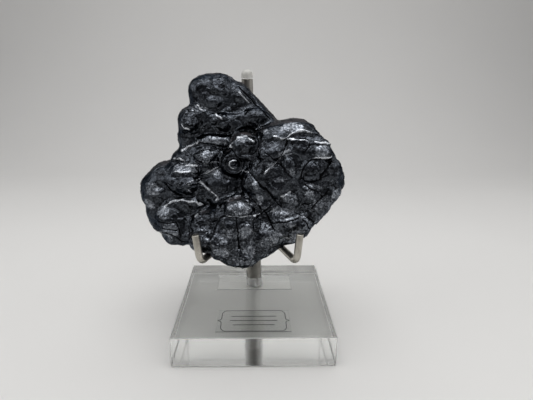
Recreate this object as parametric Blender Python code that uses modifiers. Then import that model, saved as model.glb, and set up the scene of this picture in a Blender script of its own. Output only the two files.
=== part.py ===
"""Botryoidal hematite leaning on a clear display stand.

Lengths are in millimetres and are scaled to metres by MM where they are used. +Z is up, the viewer
stands on the -Y side, and the origin is the centre of the acrylic block's underside.
"""
import math

import bmesh
import bpy
from mathutils import Matrix, Vector, noise

MM = 0.001
GAP = 0.3  # clearance that touching pieces keep

# Acrylic block
BASE_SIDE = 75.0
BASE_HEIGHT = 15.0
BASE_CHAMFER = 0.4
HOLE_FLOOR = 1.6

# Rod, which leans a little to the left, measured from its foot on the block's top face
ROD_FOOT = (-0.3, 24.0)
ROD_LEAN = 1.9  # degrees towards -X
SLEEVE_DIAMETER = 8.7
SLEEVE_TOP = 26.0
ROD_DIAMETER = 5.8
ROD_TOP = 110.6
ROD_FOOT_ROOM = 1.0  # how far the rod's lower end stays above the sleeve's
CAP_HEIGHT = 4.3
CAP_DOME = 2.2  # how much of the cap's height is domed
TURNED_LIP = 0.4  # edge break on the rod, the sleeve and the collar

# Collar and bent wire arms
WIRE_DIAMETER = 3.2
ARM_HEIGHT = 49.7  # wire centre above the ground
ARM_BEND_RADIUS = 3.8
COLLAR_DIAMETER = 15.0
COLLAR_HEIGHT = 9.0
ARM_SOCKET_DEPTH = 1.8
PRONGS = {
    # where the bend would have its corner, and the prong's tip
    "arm_left": ((-23.0, -33.4, ARM_HEIGHT), (-24.6, -33.8, 62.4)),
    "arm_right": ((18.3, -33.4, ARM_HEIGHT), (19.3, -33.8, 62.8)),
}

# Films on the block
LABEL_SIZE = (34.5, 18.0, 0.2)
LABEL_CENTRE = (-0.2, -24.5)
STICKER_SIZE = (42.0, 16.0, 0.2)
STICKER_CENTRE = (0.0, 26.0)
STICKER_RECESS = 0.7

# The stone's masses. Each has the broken faces that end it, and its lobes: x, y, z of the centre, then the
# half lengths along x, y and z.
MASSES = {
    "crown": (("crown_edge", "back"), {
        "crown": (-19, 8, 118, 12, 14, 10),
        "crown_left": (-24.5, 7, 119.5, 6.5, 13, 7),
        "crown_top": (-15.5, 8, 122, 6, 13, 6),
        "crown_face": (-19.5, 6, 115, 7.5, 14, 5),
        "crown_right": (-5.5, 8, 116.5, 10, 13, 8),
        "collar": (-23.5, 4, 110, 9.5, 13, 3.5),
        "shoulders": (-14.5, 4, 105.5, 20, 13, 9.5),
        "shoulder_left": (-29.5, 3, 106, 6.5, 13, 7),
        "shoulder_foot": (-30.5, 4, 98.5, 6, 11.5, 6),
        "shoulder_right": (0.5, 4, 107, 10.5, 13, 7.5),
    }),
    "brow": (("back",), {
        "middle": (-16, 2, 87.5, 20, 14, 16.5),
        "ledge": (-18, 0, 96.5, 10, 12, 3.5),
        "brow": (-23, -2, 88, 7, 13, 6),
        "brow_left": (-32.5, 1, 87, 7.5, 12.5, 6.5),
        "saddle": (-13.5, -3, 75.5, 14.5, 14, 10.5),
    }),
    "cheek": (("back",), {
        "left": (-37.5, 0, 66.5, 15.5, 13.5, 16.5),
        "cheek": (-46.5, 1, 73.5, 8.8, 11.5, 9),
        "cheek_foot": (-45, 0, 64, 6.5, 10, 6),
        "cheek_bridge": (-41.5, 1, 79, 9, 12, 8),
        "knuckle": (-32.5, -3, 79.5, 9, 13.5, 6.5),
        "knuckle_low": (-28, -4, 71.5, 8.5, 13, 6.5),
        "jaw": (-35.5, -5, 62.5, 11.5, 14, 6.5),
        "jaw_low": (-33.5, -8, 55.5, 10.5, 13, 6),
        "bead": (-24, -13, 61.5, 6, 10, 5.5),
    }),
    "chin": (("back", "front_foot"), {
        "bottom": (-7.5, -12, 58, 16, 16, 16.5),
        "heel": (-22.5, -18.5, 56, 7, 12.5, 5.5),
        "chin_flank": (-15, -23, 54, 9.5, 8.5, 6.5),
        "chin": (-7.5, -14, 61, 13, 15.5, 13.5),
        "chin_low": (-6, -20, 50, 10.5, 10, 7.5),
        "wedge": (3.5, -12, 55.5, 10.5, 16, 12),
    }),
    "face": (("back", "right_shoulder", "right_flank", "front_foot"), {
        "right": (18.5, -9, 80.5, 23.5, 16, 28),
        "ring_big": (-4, -10.5, 96.5, 6.5, 10.5, 6.5),
        "ring_small": (-9.5, -12, 89, 5.5, 7.5, 5.5),
        "face_left": (3.5, -11, 79, 9, 15, 14),
        "face_upper": (8, -9, 94.5, 8.5, 15.5, 8),
        "face_top": (19.5, -6, 99.5, 11, 14.5, 9),
        "face_side": (33, -7, 79, 9.5, 15, 10),
        "face_low_right": (28, -8, 70, 11, 16.5, 7.5),
        "face_low": (15, -12, 62, 13, 16, 11.5),
    }),
}
PILLOW = 2.5  # 2 makes a lobe an ellipsoid, more makes it squarer
VOXEL = 0.8
SMOOTHING = 14  # passes that round the creases between the lobes
STONE_TRIANGLES = 7800

# Broken faces: a point on the face and the direction that was broken away
FRACTURES = {
    "crown_edge": ((1.7, 6, 116.7), (0.72, 0.0, 0.70)),
    "right_shoulder": ((34, -8, 94), (0.81, 0.1, 0.58)),
    "right_flank": ((30.3, -10, 66.5), (0.80, 0.1, -0.59)),
    "front_foot": ((12.5, -22, 51.5), (0.50, 0.1, -0.86)),
    "back": ((0, 15.5, 90), (0.02, 0.985, -0.17)),
}
UNDERSIDE = 51.8  # the stone's underside over the arms
UNDERSIDE_FRONT = -22.0
UNDERSIDE_CUTTER = (46.0, 60.0, 30.0)
UNDERSIDE_CENTRE = -3.0  # the cutter's middle along x
UNDERSIDE_TILT = 1.0  # degrees
ARM_ROOM = (9.0, 24.0, 30.0)  # the box kept free over and beside each arm

# Low botryoidal caps on the front: x, z of the centre, the radii along x and z, and the rise
CAPS = {
    "face_top_left": (8.5, 103, 6.5, 5, 1.4),
    "face_top": (17, 105, 8, 4.5, 1.6),
    "face_upper_left": (5.5, 96, 6, 5.5, 1.6),
    "face_upper_middle": (18.5, 98, 6.5, 5, 1.8),
    "face_corner": (28.5, 97, 6, 5, 1.8),
    "face_boss": (25.5, 88, 7, 5.5, 2.0),
    "face_below_cross": (14, 88.5, 4.5, 6.5, 1.5),
    "face_left_of_cross": (5, 89, 4.5, 6, 1.5),
    "face_middle": (9, 80, 6.5, 5, 1.6),
    "face_left": (0.5, 82.5, 4.5, 6.5, 1.4),
    "face_side": (35, 87, 4.5, 6.5, 1.6),
    "face_side_low": (33.5, 78.5, 5.5, 5.5, 1.6),
    "face_low_middle": (24.5, 77.5, 5, 5, 1.4),
    "face_panel": (15.5, 73.5, 5, 4, 1.6),
    "face_flank": (29, 71.5, 5.5, 3.5, 1.4),
    "face_foot_right": (21, 65, 6, 5, 1.4),
    "face_foot": (12, 64.5, 5.5, 6, 1.6),
    "face_wedge": (5.5, 69, 4, 5.5, 1.4),
    "chin_crest": (-7, 72, 8, 5, 2.4),
    "chin": (-6, 62, 9.5, 8.5, 1.5),
    "chin_left": (-16.5, 58, 4, 6, 1.4),
    "chin_right": (3.5, 58, 5, 6.5, 1.4),
    "chin_foot": (-3, 51.5, 8.5, 3.5, 1.0),
    "cheek": (-46, 76, 6, 6.5, 1.3),
    "cheek_top": (-41, 82.5, 7, 4.5, 1.3),
    "brow_band": (-30.5, 86, 7.5, 3.5, 1.4),
    "knuckle": (-29, 78.5, 7, 4, 1.8),
    "jaw_arch": (-32, 68.5, 9.5, 4, 1.8),
    "jaw": (-39, 60.5, 8, 5.5, 1.4),
    "jaw_right": (-28, 58.5, 6.5, 6.5, 1.4),
    "bead": (-22, 66, 4, 3.5, 1.6),
    "brow": (-21.5, 93, 5.5, 4.5, 2.0),
    "brow_right": (-14.5, 91.5, 4, 4, 1.2),
    "saddle": (-14.5, 81.5, 8.5, 6, 1.0),
    "brow_left": (-31, 91.5, 4.5, 3.5, 1.2),
    "crown_left": (-23, 120, 4.5, 5.5, 1.5),
    "crown_middle": (-16, 121.5, 4.5, 5, 1.5),
    "crown_low": (-18, 115.5, 5, 3, 1.4),
    "crown_right": (-8.5, 117.5, 5.5, 6.5, 1.3),
    "shoulder_left": (-29.5, 106, 4.5, 5, 1.6),
    "shoulder_foot": (-29.5, 99.5, 4, 3.5, 1.2),
    "shoulder_middle": (-19.5, 107, 4.5, 4, 1.6),
    "shoulder_next": (-13.5, 107, 4, 4.5, 1.6),
    "shoulder_gap": (-7.5, 104.5, 3.5, 3, 1.0),
    "shoulder_right": (1.5, 108, 8, 4, 1.8),
    "ledge": (-17, 99, 8, 2, 2.0),
}
# Ringed domes: x, z of the centre, the moat's radius, and the moat's depth
RINGS = {
    "big": (-3, 99, 4.6, 1.6),
    "small": (-9, 90.5, 2.9, 1.5),
}
RING_MOAT = 1.1  # half width of a moat
# Pits: x, z of the centre, the radii along x and z, and the depth
PITS = {
    "hole": (-35.5, 89, 2.8, 1.7, 3.5),
    "valley": (-17, 96, 8, 1.6, 1.5),
    "trough": (20.5, 72.5, 1.8, 5.5, 1.5),
}
# Main cracks across the front: x, z points, then the depth
CRACKS = {
    "cross_up": (((9.5, 92.5), (12.5, 97), (14, 102), (15, 104.5)), 1.0),
    "cross_left": (((9.5, 92.5), (5, 96)), 0.8),
    "cross_low": (((9.5, 92.5), (4.5, 87)), 0.8),
    "cross_right": (((9.5, 92.5), (14, 87), (16, 84), (18.5, 79.5)), 1.0),
    "boss": (((20, 86), (21, 90.5), (23.5, 92.5), (27, 93), (31.5, 92.5), (32.5, 91)), 1.0),
    "boss_low": (((20, 86), (21.5, 82.5), (24.5, 82), (28, 84.5), (30, 88.5)), 0.8),
    "split": (((-2, 87.5), (3.5, 81.5), (6, 77.5), (11, 72)), 1.4),
    "split_low": (((-2, 77), (2.5, 72), (5, 67), (8.5, 62.5)), 1.2),
    "foot_line": (((7.5, 65.5), (13, 66.5), (18.5, 67.5)), 0.8),
    "chin_edge": (((-19.5, 58.5), (-15.5, 66.5), (-12, 72.5), (-8.5, 76), (-4, 77.5)), 1.4),
    "chin_across": (((-11.5, 68.5), (-2, 68.5), (1.5, 68.5)), 0.8),
    "chin_down": (((-8, 69), (-7.5, 64), (-6.5, 54)), 0.7),
    "knuckle": (((-31.5, 80), (-24.5, 80), (-22, 79)), 0.9),
    "jaw_rim": (((-38.5, 72.5), (-35, 73), (-28, 74), (-23, 72)), 1.2),
    "crown_row": (((-33, 112.5), (-28, 112.5), (-21.5, 111.5), (-15, 111.5), (-4, 110.5)), 1.2),
}
CRACK_WIDTH = 0.9  # half width
BACK_RELIEF = 2.2  # how deep the broken back is pitted
BACK_GRAIN = 8.0  # size of its chips
SKIN_RELIEF = 0.35
SKIN_GRAIN = 4.0
LAYER = 4.5  # thickness of the layers that show as ledges on the broken edges
LEDGE = 0.9  # how far each ledge stands out


def clear_scene():
    for obj in list(bpy.data.objects):
        bpy.data.objects.remove(obj, do_unlink=True)


def collection(name):
    made = bpy.data.collections.new(name)
    bpy.context.scene.collection.children.link(made)
    return made


def material(name, colour, roughness, metallic=0.0, clear=0.0, ior=1.5):
    made = bpy.data.materials.new(name)
    made.use_nodes = True
    shader = made.node_tree.nodes["Principled BSDF"]
    shader.inputs["Base Color"].default_value = (*colour, 1.0)
    shader.inputs["Roughness"].default_value = roughness
    shader.inputs["Metallic"].default_value = metallic
    shader.inputs["Transmission Weight"].default_value = clear
    shader.inputs["IOR"].default_value = ior
    return made


def mesh_object(name, bm, where, finish=None):
    bm.normal_update()
    mesh = bpy.data.meshes.new(name)
    bm.to_mesh(mesh)
    bm.free()
    return placed(name, mesh, where, finish)


def placed(name, data, where, finish=None):
    obj = bpy.data.objects.new(name, data)
    where.objects.link(obj)
    if finish:
        data.materials.append(finish)
    return obj


def as_cutter(obj):
    obj.hide_render = True
    obj.display_type = "WIRE"
    return obj


def cut(target, cutter):
    boolean = target.modifiers.new(cutter.name, "BOOLEAN")
    boolean.operation = "DIFFERENCE"
    boolean.object = cutter


def block(name, size, centre, where, finish=None):
    """A box from its side lengths and its centre."""
    bm = bmesh.new()
    bmesh.ops.create_cube(bm, size=1.0, matrix=Matrix.Diagonal((*size, 1.0)))
    bmesh.ops.scale(bm, vec=(MM, MM, MM), verts=bm.verts)
    obj = mesh_object(name, bm, where, finish)
    obj.location = Vector(centre) * MM
    return obj


def post(name, radius, height, segments, where, finish=None):
    """A cylinder round its own z axis, from z = 0 up."""
    bm = bmesh.new()
    bmesh.ops.create_cone(bm, cap_ends=True, segments=segments, radius1=radius * MM,
                          radius2=radius * MM, depth=height * MM,
                          matrix=Matrix.Translation((0, 0, height * MM / 2)))
    return mesh_object(name, bm, where, finish)


def turned(name, profile, closed, where, finish, steps=32):
    """A profile of (radius, height) points, outer side first and downwards, turned round z."""
    bm = bmesh.new()
    points = [bm.verts.new((radius * MM, 0.0, height * MM)) for radius, height in profile]
    for first, second in zip(points, points[1:]):
        bm.edges.new((first, second))
    if closed:
        bm.edges.new((points[-1], points[0]))
    obj = mesh_object(name, bm, where, finish)
    screw = obj.modifiers.new("turn", "SCREW")
    screw.steps = steps
    screw.render_steps = steps
    screw.use_merge_vertices = True
    screw.merge_threshold = 0.00001
    screw.use_smooth_shade = True
    return obj


def wire(name, points, diameter, where, finish):
    """A round wire along a list of points."""
    curve = bpy.data.curves.new(name, "CURVE")
    curve.dimensions = "3D"
    curve.bevel_depth = diameter / 2 * MM
    curve.bevel_resolution = 3
    curve.use_fill_caps = True
    spline = curve.splines.new("POLY")
    spline.points.add(len(points) - 1)
    for point, place in zip(spline.points, points):
        point.co = (*(Vector(place) * MM), 1.0)
    obj = placed(name, curve, where, finish)
    weld = obj.modifiers.new("weld", "WELD")
    weld.merge_threshold = 0.00001
    return obj


def bent(start, corner, end, radius, steps=9):
    """Points from start to end round a corner of the given bend radius."""
    start = Vector(start)
    corner = Vector(corner)
    end = Vector(end)
    back = (start - corner).normalized()
    forward = (end - corner).normalized()
    half = back.angle(forward) / 2
    reach = radius / math.tan(half)
    centre = corner + (back + forward).normalized() * (radius / math.sin(half))
    first = corner + back * reach - centre
    last = corner + forward * reach - centre
    sweep = first.angle(last)
    axis = first.cross(last).normalized()
    arc = [centre + Matrix.Rotation(sweep * i / steps, 3, axis) @ first for i in range(steps + 1)]
    return [start, *arc, end]


def lobe(place, fractures):
    """One pillow-shaped lobe, ended by its broken faces."""
    x, y, z, rx, ry, rz = place
    bm = bmesh.new()
    bmesh.ops.create_icosphere(bm, subdivisions=4, radius=1.0)
    for vert in bm.verts:
        vert.co /= sum(abs(part) ** PILLOW for part in vert.co) ** (1 / PILLOW)
    bmesh.ops.scale(bm, vec=(rx * MM, ry * MM, rz * MM), verts=bm.verts)
    bmesh.ops.translate(bm, vec=Vector((x, y, z)) * MM, verts=bm.verts)
    for name in fractures:
        point, away = FRACTURES[name]
        everything = bm.verts[:] + bm.edges[:] + bm.faces[:]
        broken = bmesh.ops.bisect_plane(bm, geom=everything, dist=1e-7, clear_outer=True,
                                        plane_co=Vector(point) * MM, plane_no=Vector(away))
        rim = [part for part in broken["geom_cut"] if isinstance(part, bmesh.types.BMEdge)]
        if rim:
            bmesh.ops.triangle_fill(bm, edges=rim, use_beauty=True)
    bmesh.ops.recalc_face_normals(bm, faces=bm.faces)
    return bm


def stone_body(where, finish):
    """All lobes joined by one voxel remesh into a closed skin."""
    everything = bmesh.new()
    for fractures, lobes in MASSES.values():
        for place in lobes.values():
            bm = lobe(place, fractures)
            single = bpy.data.meshes.new("lobe")
            bm.to_mesh(single)
            bm.free()
            everything.from_mesh(single)
            bpy.data.meshes.remove(single)
    obj = mesh_object("hematite", everything, where, finish)
    remesh = obj.modifiers.new("join lobes", "REMESH")
    remesh.mode = "VOXEL"
    remesh.voxel_size = VOXEL * MM
    return obj


def apply_modifiers(obj):
    bpy.context.view_layer.update()
    shape = bpy.data.meshes.new_from_object(obj.evaluated_get(bpy.context.evaluated_depsgraph_get()))
    obj.modifiers.clear()
    obj.data = shape


def arm_rooms(cutters):
    """Boxes that keep the stone off each arm, from the arm's inner side outwards."""
    hub = arm_hub()
    wide, deep, high = ARM_ROOM
    made = []
    for name, (corner, tip) in PRONGS.items():
        run = Vector(corner) - hub
        outward = math.copysign(1.0, corner[0])
        inner = WIRE_DIAMETER / 2 + 1.5 * GAP
        room = block(name + "_room", ARM_ROOM, (0, 0, 0), cutters)
        turn = Matrix.Rotation(math.atan2(-run.x, run.y) + math.pi, 3, "Z")
        shift = turn @ Vector((outward * (wide / 2 - inner), 0, 0))
        near = Vector(corner) - run.normalized() * (deep / 2 - 6)
        room.location = Vector((near.x + shift.x, near.y + shift.y, UNDERSIDE - high / 2)) * MM
        room.rotation_euler = turn.to_euler()
        made.append(as_cutter(room))
    return made


def cap_rise(x, z):
    """How far the highest of the overlapping caps stands out at this place."""
    rise = 0.0
    for cx, cz, rx, rz, height in CAPS.values():
        inside = 1 - ((x - cx) / rx) ** 2 - ((z - cz) / rz) ** 2
        rise = max(rise, height * inside)
    return rise


def hollow(x, z):
    """How deep the ring moats and pits are at this place."""
    depth = 0.0
    for cx, cz, radius, moat in RINGS.values():
        off = (math.hypot(x - cx, z - cz) - radius) / RING_MOAT
        depth += moat * math.exp(-off * off)
    for cx, cz, rx, rz, pit in PITS.values():
        depth += pit * math.exp(-((x - cx) / rx) ** 2 - ((z - cz) / rz) ** 2)
    for points, crack in CRACKS.values():
        off = min(off_line(x, z, *ends) for ends in zip(points, points[1:])) / CRACK_WIDTH
        depth += crack * math.exp(-off * off)
    return depth


def off_line(x, z, start, end):
    """Distance from a place to a straight stretch of crack."""
    along = Vector(end) - Vector(start)
    here = Vector((x, z)) - Vector(start)
    share = min(1.0, max(0.0, here.dot(along) / along.length_squared))
    return (here - along * share).length


def relief(place, normal):
    """The stone's relief in millimetres at a place on its skin, outwards."""
    facing = min(1.0, max(0.0, (-normal.y - 0.15) / 0.4))
    rise = SKIN_RELIEF * noise.noise(place / SKIN_GRAIN)
    rise += facing * (cap_rise(place.x, place.z) - hollow(place.x, place.z))
    behind = min(1.0, max(0.0, (normal.y - 0.3) / 0.4))
    chips, _ = noise.voronoi(place / BACK_GRAIN)
    edge = max(0.0, 1 - facing - behind) * min(1.0, max(0.0, normal.x * 2))
    wander = noise.noise(place / SKIN_GRAIN / 3)
    rise -= edge * LEDGE * ((place.y / LAYER + wander) % 1.0)
    return rise - behind * BACK_RELIEF * min(1.0, chips[0])


def stone(where, cutters, finish):
    obj = stone_body(where, finish)
    apply_modifiers(obj)
    _, depth, height = UNDERSIDE_CUTTER
    middle = (UNDERSIDE_CENTRE, UNDERSIDE_FRONT + depth / 2, UNDERSIDE - height / 2)
    under = as_cutter(block("underside_cutter", UNDERSIDE_CUTTER, middle, cutters))
    under.rotation_euler = (math.radians(UNDERSIDE_TILT), 0, 0)
    for cutter in (under, *arm_rooms(cutters)):
        cut(obj, cutter)
    soften = obj.modifiers.new("soften breaks", "REMESH")
    soften.mode = "VOXEL"
    soften.voxel_size = VOXEL * MM
    smooth = obj.modifiers.new("smooth", "SMOOTH")
    smooth.factor = 0.5
    smooth.iterations = SMOOTHING
    apply_modifiers(obj)
    obj.data.materials.clear()
    obj.data.materials.append(finish)
    moved = [vert.co + vert.normal * relief(vert.co / MM, vert.normal) * MM for vert in obj.data.vertices]
    for vert, place in zip(obj.data.vertices, moved):
        vert.co = place
    thin = obj.modifiers.new("thin out", "DECIMATE")
    thin.ratio = STONE_TRIANGLES / sum(len(face.vertices) - 2 for face in obj.data.polygons)
    thin.use_collapse_triangulate = True
    obj.data.shade_smooth()
    return obj


def rod_axis(where):
    """An empty on the rod's foot whose z axis is the rod's axis."""
    axis = bpy.data.objects.new("rod_axis", None)
    where.objects.link(axis)
    axis.location = Vector((*ROD_FOOT, BASE_HEIGHT)) * MM
    axis.rotation_euler = (0, -math.radians(ROD_LEAN), 0)
    return axis


def on_rod(obj, axis, height=0.0):
    obj.parent = axis
    obj.location = (0, 0, height * MM)
    return obj


def base(where, cutters, axis, clear):
    obj = block("acrylic_base", (BASE_SIDE, BASE_SIDE, BASE_HEIGHT), (0, 0, BASE_HEIGHT / 2), where, clear)
    edge = obj.modifiers.new("polished edges", "BEVEL")
    edge.width = BASE_CHAMFER * MM
    edge.segments = 2
    hole_depth = BASE_HEIGHT - HOLE_FLOOR
    hole = post("rod_hole", SLEEVE_DIAMETER / 2 + GAP, hole_depth + 5, 40, cutters)
    cut(obj, as_cutter(on_rod(hole, axis, -hole_depth)))
    recess = block("sticker_recess", (STICKER_SIZE[0] + 1, STICKER_SIZE[1] + 1, 2 * STICKER_RECESS),
                   (*STICKER_CENTRE, 0), cutters)
    cut(obj, as_cutter(recess))
    return obj


def rod_and_sleeve(where, axis, steel, cap_finish):
    sleeve_radius = SLEEVE_DIAMETER / 2
    rod_radius = ROD_DIAMETER / 2
    bore = rod_radius + GAP
    foot = HOLE_FLOOR + GAP - BASE_HEIGHT
    lip = TURNED_LIP
    sleeve = [(sleeve_radius - lip, SLEEVE_TOP), (sleeve_radius, SLEEVE_TOP - lip),
              (sleeve_radius, foot), (bore, foot), (bore, SLEEVE_TOP)]
    on_rod(turned("rod_sleeve", sleeve, True, where, steel), axis)
    rod = [(0, ROD_TOP), (rod_radius - lip, ROD_TOP), (rod_radius, ROD_TOP - lip),
           (rod_radius, foot + ROD_FOOT_ROOM), (0, foot + ROD_FOOT_ROOM)]
    on_rod(turned("rod", rod, False, where, steel), axis)
    dome = [(rod_radius * math.sin(math.radians(a)), CAP_HEIGHT - CAP_DOME * (1 - math.cos(math.radians(a))))
            for a in range(0, 91, 15)]
    dome += [(rod_radius, 0.0), (0, 0)]
    on_rod(turned("rod_cap", dome, False, where, cap_finish, steps=24), axis, ROD_TOP + GAP)


def arm_hub():
    """Where the rod's axis is as high as the arms."""
    shift = (ARM_HEIGHT - BASE_HEIGHT) * math.tan(math.radians(ROD_LEAN))
    return Vector((ROD_FOOT[0] - shift, ROD_FOOT[1], ARM_HEIGHT))


def arms(where, cutters, axis, steel):
    """The collar on the rod and a bent wire from it to each prong."""
    height = ARM_HEIGHT - BASE_HEIGHT
    radius = COLLAR_DIAMETER / 2
    bore = ROD_DIAMETER / 2 + GAP
    half = COLLAR_HEIGHT / 2
    lip = TURNED_LIP
    ring = [(radius - lip, half), (radius, half - lip), (radius, lip - half), (radius - lip, -half),
            (bore, -half), (bore, half)]
    collar = on_rod(turned("arm_collar", ring, True, where, steel, steps=32), axis, height)
    hub = arm_hub()
    for name, (corner, tip) in PRONGS.items():
        towards = (Vector(corner) - hub).normalized()
        start = hub + towards * (radius - ARM_SOCKET_DEPTH + GAP)
        wire(name, bent(start, corner, tip, ARM_BEND_RADIUS), WIRE_DIAMETER, where, steel)
        socket = post(name + "_socket", WIRE_DIAMETER / 2 + GAP, 10, 24, cutters)
        socket.location = (hub + towards * (radius - ARM_SOCKET_DEPTH)) * MM
        socket.rotation_euler = towards.to_track_quat("Z", "Y").to_euler()
        cut(collar, as_cutter(socket))


def films(where, clear, paper):
    block("label", LABEL_SIZE, (*LABEL_CENTRE, BASE_HEIGHT + GAP + LABEL_SIZE[2] / 2), where, clear)
    block("underside_sticker", STICKER_SIZE, (*STICKER_CENTRE, STICKER_RECESS - GAP - STICKER_SIZE[2] / 2),
          where, paper)


def main():
    clear_scene()
    specimen = collection("botryoidal_hematite")
    cutters = collection("cutters")
    iron_ore = material("botryoidal hematite", (0.045, 0.047, 0.052), 0.25, metallic=0.9)
    acrylic = material("clear cast acrylic", (0.98, 0.99, 0.985), 0.02, clear=1.0, ior=1.49)
    steel = material("satin steel", (0.55, 0.54, 0.51), 0.35, metallic=1.0)
    frosted = material("pale plastic", (0.80, 0.80, 0.78), 0.4)
    film = material("clear label film", (0.90, 0.90, 0.89), 0.2, clear=0.6)
    paper = material("white paper", (0.85, 0.85, 0.84), 0.7)
    axis = rod_axis(specimen)
    base(specimen, cutters, axis, acrylic)
    rod_and_sleeve(specimen, axis, steel, frosted)
    arms(specimen, cutters, axis, steel)
    films(specimen, film, paper)
    stone(specimen, cutters, iron_ore)


main()
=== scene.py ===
"""Botryoidal hematite leaning on a clear display stand: the looks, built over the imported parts.

Lengths are in millimetres and are scaled to metres by MM where they are used. +Z is up, the viewer
stands on the -Y side, and the origin is the centre of the acrylic block's underside.
"""
import math

import bmesh
import bpy
import numpy as np
from mathutils import Matrix, Vector, noise

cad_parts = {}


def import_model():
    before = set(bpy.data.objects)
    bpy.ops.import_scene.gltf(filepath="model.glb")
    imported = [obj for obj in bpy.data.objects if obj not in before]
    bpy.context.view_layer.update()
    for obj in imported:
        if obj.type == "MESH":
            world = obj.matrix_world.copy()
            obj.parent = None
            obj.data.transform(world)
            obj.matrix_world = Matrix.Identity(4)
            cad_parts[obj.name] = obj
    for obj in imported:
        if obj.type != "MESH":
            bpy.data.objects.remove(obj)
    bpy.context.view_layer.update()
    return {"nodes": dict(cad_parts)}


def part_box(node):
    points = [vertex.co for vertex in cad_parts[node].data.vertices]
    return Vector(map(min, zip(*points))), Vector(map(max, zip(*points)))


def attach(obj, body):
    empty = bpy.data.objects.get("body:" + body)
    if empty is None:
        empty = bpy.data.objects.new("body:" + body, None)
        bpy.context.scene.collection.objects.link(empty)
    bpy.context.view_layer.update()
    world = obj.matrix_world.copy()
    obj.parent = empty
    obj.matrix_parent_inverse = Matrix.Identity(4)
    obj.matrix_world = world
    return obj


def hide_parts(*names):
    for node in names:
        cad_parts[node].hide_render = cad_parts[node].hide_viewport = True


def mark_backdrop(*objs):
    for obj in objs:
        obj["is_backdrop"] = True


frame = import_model()

MM = 0.001
BODY = "root"

# Camera, fitted to the block's corners in the photograph. Angles are in degrees.
CAMERA_PLACE = (0.595, -195.654, 124.617)
CAMERA_YAW = 1.574
CAMERA_PITCH = -16.168
CAMERA_ROLL = 0.605
SENSOR = 36.0
LENS = 27.747
CLIP_NEAR = 10.0
CLIP_FAR = 10000.0

# Rod and its drilled hole in the block
ROD_FOOT = (-0.3, 24.0, 15.0)
ROD_LEAN = 1.9  # degrees towards -X
HOLE_RADIUS = 4.65

# Bent wire arms
WIRE_DIAMETER = 3.2
WIRE_SIDES = 28
WIRE_END_ROUNDING = 0.35
ARM_HUB = (-1.45, 24.0, 49.7)
ARM_START = 6.0  # from the hub to the wire's inner end
ARM_BEND_RADIUS = 3.8
ARM_BEND_STEPS = 14
PRONGS = {
    # where the bend would have its corner, and the prong's tip
    "arm_left": ((-23.0, -33.4, 49.7), (-24.6, -33.8, 62.4)),
    "arm_right": ((18.3, -33.4, 49.7), (19.3, -33.8, 62.8)),
}

# Printed frame and ruled lines on the label
FRAME_HALF_WIDTH = 15.2
FRAME_HALF_DEPTH = 8.6
FRAME_LINE = 0.32
RULED_LINE = 0.45
RULED_ROWS = ((3.6, 10.5), (0.0, 11.0), (-3.6, 9.5))  # place from the middle, half length
PRINT_LIFT = 0.05
PRINT_THICKNESS = 0.04
CORNER_OVERLAP = 0.9  # of the line's width, so that a frame's corners close

# Softboxes: name, place, target, width and depth, power in watts
LIGHTS = (
    ("overhead softbox", (0, -80, 560), (0, -20, 60), (440, 280), 1.15),
    ("front strip", (0, -330, 420), (0, -10, 20), (460, 60), 0.25),
    ("rear softbox", (0, 280, 600), (0, 0, 20), (800, 300), 0.7),
    ("left softbox", (-420, -60, 330), (0, 0, 30), (360, 360), 0.42),
    ("right softbox", (420, -60, 330), (0, 0, 30), (360, 360), 0.42),
    ("backdrop light", (0, 300, 640), (0, 600, 230), (1000, 160), 0.38),
)

# Background sweep
FLOOR_HEIGHT = -0.3
FLOOR_FRONT = -1200
FLOOR_BACK = 330
SWEEP_RADIUS = 260
SWEEP_TOP = 900
SWEEP_HALF_WIDTH = 900

# Stone skin
SEED = 1  # for the noise vectors, so that every run gives the same stone
VOXEL = 0.86
CRACK_WIDTH = 0.3
CRACK_DEPTH = 0.4
SCAR_WIDTH = 0.3
SCAR_HEIGHT = 0.2
FAR = 3.0  # distances to a crack or scar are kept up to here
MOAT_WIDTH = 0.55
MOAT_DEPTH = 0.3
RIM_OFFSET = 1.2  # from a ring's moat out to its raised rim
RIM_WIDTH = 0.5
RIM_HEIGHT = 0.5
WANDER = 0.3  # of the features' edges
WANDER_SIZE = 2.2
LUMP_SIZE = 3.0
LUMP_HEIGHT = 0.1
GRAIN_SIZE = 1.3
GRAIN_HEIGHT = 0.05
DOME_SIZE = 3.4
DOME_HEIGHT = 0.07
PLATE_SIZE = 4.4
PLATE_TILT = 0.26
CALM_FROM = 92  # height from which the plates tilt less
CALM_TILT = 0.12
SWIRL_HEIGHT = 0.03
CHIP_SIZE = 2.6
CHIP_DEPTH = 0.5
SLAB_SIZE = 6.5
SLAB_TILT = 0.5
LAYER_THICKNESS = 1.3
LAYER_STEP = 0.35

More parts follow.
